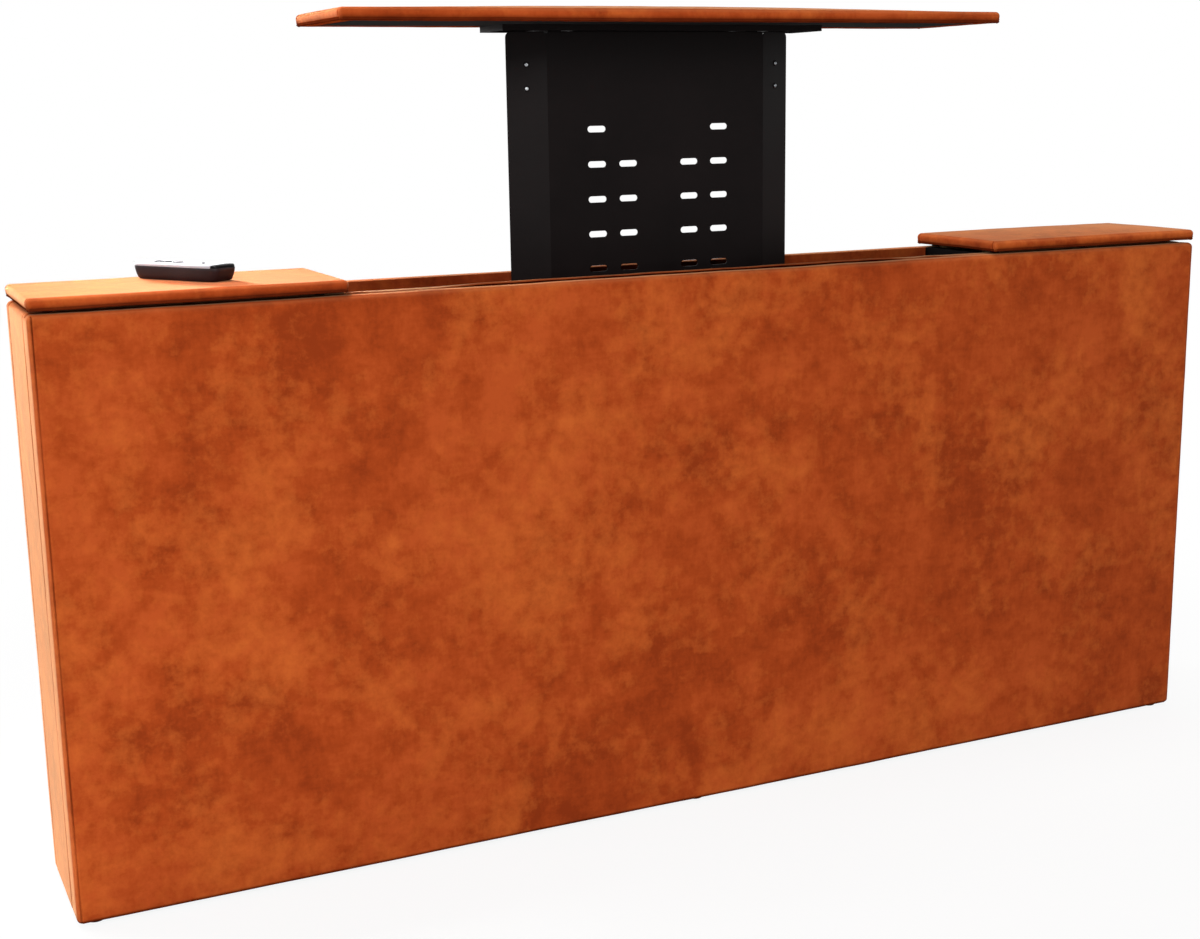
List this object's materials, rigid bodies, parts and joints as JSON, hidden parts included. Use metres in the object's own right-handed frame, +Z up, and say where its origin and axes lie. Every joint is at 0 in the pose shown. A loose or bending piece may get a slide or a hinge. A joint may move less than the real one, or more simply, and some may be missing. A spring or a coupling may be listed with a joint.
{
  "type": "tv lift cabinet",
  "caption": "Slim upholstered case whose middle lid rises on an electric telescopic lift with a slotted television mounting plate, with a remote control on one end lid.",
  "frame": {"origin": "on the floor, under the middle of the case", "axes": "+X along the case, -Y towards the front, +Z up"},
  "size_m": [1.84, 0.2088, 1.164],
  "materials": {
    "upholstery": "nubuck-look upholstery cloth over thin foam",
    "bay_cloth": "the same cloth on hardboard, inside the bay",
    "black_cloth": "thin black lining cloth",
    "carcass_board": "particle board and softwood battens",
    "black_board": "black laminated board",
    "hard_plastic": "moulded black plastic",
    "black_powder_coat": "satin black powder coat on sheet steel",
    "zinc_steel": "bright zinc plate",
    "steel_bar": "ground and drawn steel",
    "slide_plastic": "natural acetal",
    "nut_plastic": "natural acetal",
    "cast_housing": "die-cast, bead-blasted",
    "cable_jacket": "soft PVC",
    "circuit_board": "green solder mask on glass laminate",
    "remote_shell": "fine-textured black ABS",
    "remote_top": "silver-painted ABS",
    "key_rubber": "soft-touch silicone",
    "battery_can": "lacquered steel can"
  },
  "bodies": {
    "cabinet": {"front_board": "carcass_board", "front_frame": "carcass_board", "front_cover": "upholstery", "front_lining": "bay_cloth", "back_board": "carcass_board", "back_cover": "upholstery", "back_lining": "bay_cloth", "end_boards": "carcass_board", "left_end_cover": "upholstery", "right_end_cover": "upholstery", "base_board": "carcass_board", "partitions": "black_board", "end_battens": "carcass_board", "glides": "hard_plastic", "end_lid_boards": "carcass_board", "left_lid_cover": "upholstery", "right_lid_cover": "upholstery", "end_lid_undersides": "black_cloth", "lid_buffers": "hard_plastic", "cable_outlet": "hard_plastic", "lift_base_plate": "black_powder_coat", "lift_uprights": "black_powder_coat", "lift_back_bars": "black_powder_coat", "lift_screws": "zinc_steel", "outer_slides": "zinc_steel", "actuator_foot_pin": "steel_bar", "actuator_gearbox": "cast_housing", "actuator_motor": "black_powder_coat", "actuator_tube": "cast_housing", "actuator_wiper": "hard_plastic", "control_box_tray": "hard_plastic", "control_box_lid": "hard_plastic", "control_board": "circuit_board", "motor_cable": "cable_jacket"},
    "spindle": {"actuator_spindle": "steel_bar"},
    "middle_stage": {"middle_slides": "zinc_steel", "slide_liners": "slide_plastic", "middle_tie_bar": "black_powder_coat"},
    "carriage": {"inner_slides": "zinc_steel", "carriage_posts": "black_powder_coat", "carriage_crossbars": "black_powder_coat", "tv_plate": "black_powder_coat", "wing_brackets": "black_powder_coat", "wing_screws": "zinc_steel", "lid_tray": "black_powder_coat", "tray_screws": "zinc_steel", "middle_lid_board": "carcass_board", "middle_lid_cover": "upholstery", "middle_lid_underside": "black_cloth", "actuator_rod": "steel_bar", "actuator_nut": "nut_plastic", "rod_pin": "steel_bar"},
    "remote": {"remote_base": "remote_shell", "remote_battery_door": "remote_shell", "remote_face": "remote_top", "remote_circuit_board": "circuit_board", "remote_batteries": "battery_can"},
    "up_key": {"remote_up_key": "key_rubber"},
    "stop_key": {"remote_stop_key": "key_rubber"},
    "down_key": {"remote_down_key": "key_rubber"}
  },
  "joints": [
    {"name": "tv_lift", "type": "slide", "parent": "cabinet", "child": "carriage", "axis": [0, 0, 1], "range_m": [-0.343, 0.257]},
    {"name": "middle_stage_lift", "type": "slide", "parent": "cabinet", "child": "middle_stage", "axis": [0, 0, 1], "range_m": [-0.1715, 0.1285]},
    {"name": "spindle_turn", "type": "hinge", "parent": "cabinet", "child": "spindle", "pos_m": [0, 0.05, 0.2], "axis": [0, 0, 1], "range_deg": [-12350, 9254]},
    {"name": "remote_lift_off", "type": "slide", "parent": "cabinet", "child": "remote", "axis": [0, 0, 1], "range_m": [0, 0.3]},
    {"name": "up_key_press", "type": "slide", "parent": "remote", "child": "up_key", "axis": [0, 0, -1], "range_m": [0, 0.0008], "stiffness_N_per_m": 500, "springref_m": -0.0004},
    {"name": "stop_key_press", "type": "slide", "parent": "remote", "child": "stop_key", "axis": [0, 0, -1], "range_m": [0, 0.0008], "stiffness_N_per_m": 500, "springref_m": -0.0004},
    {"name": "down_key_press", "type": "slide", "parent": "remote", "child": "down_key", "axis": [0, 0, -1], "range_m": [0, 0.0008], "stiffness_N_per_m": 500, "springref_m": -0.0004}
  ],
  "couplings": [
    {"joint": "middle_stage_lift", "follows": "tv_lift", "ratio": 0.5},
    {"joint": "spindle_turn", "follows": "tv_lift", "rad_per_m": 628.32}
  ]
}
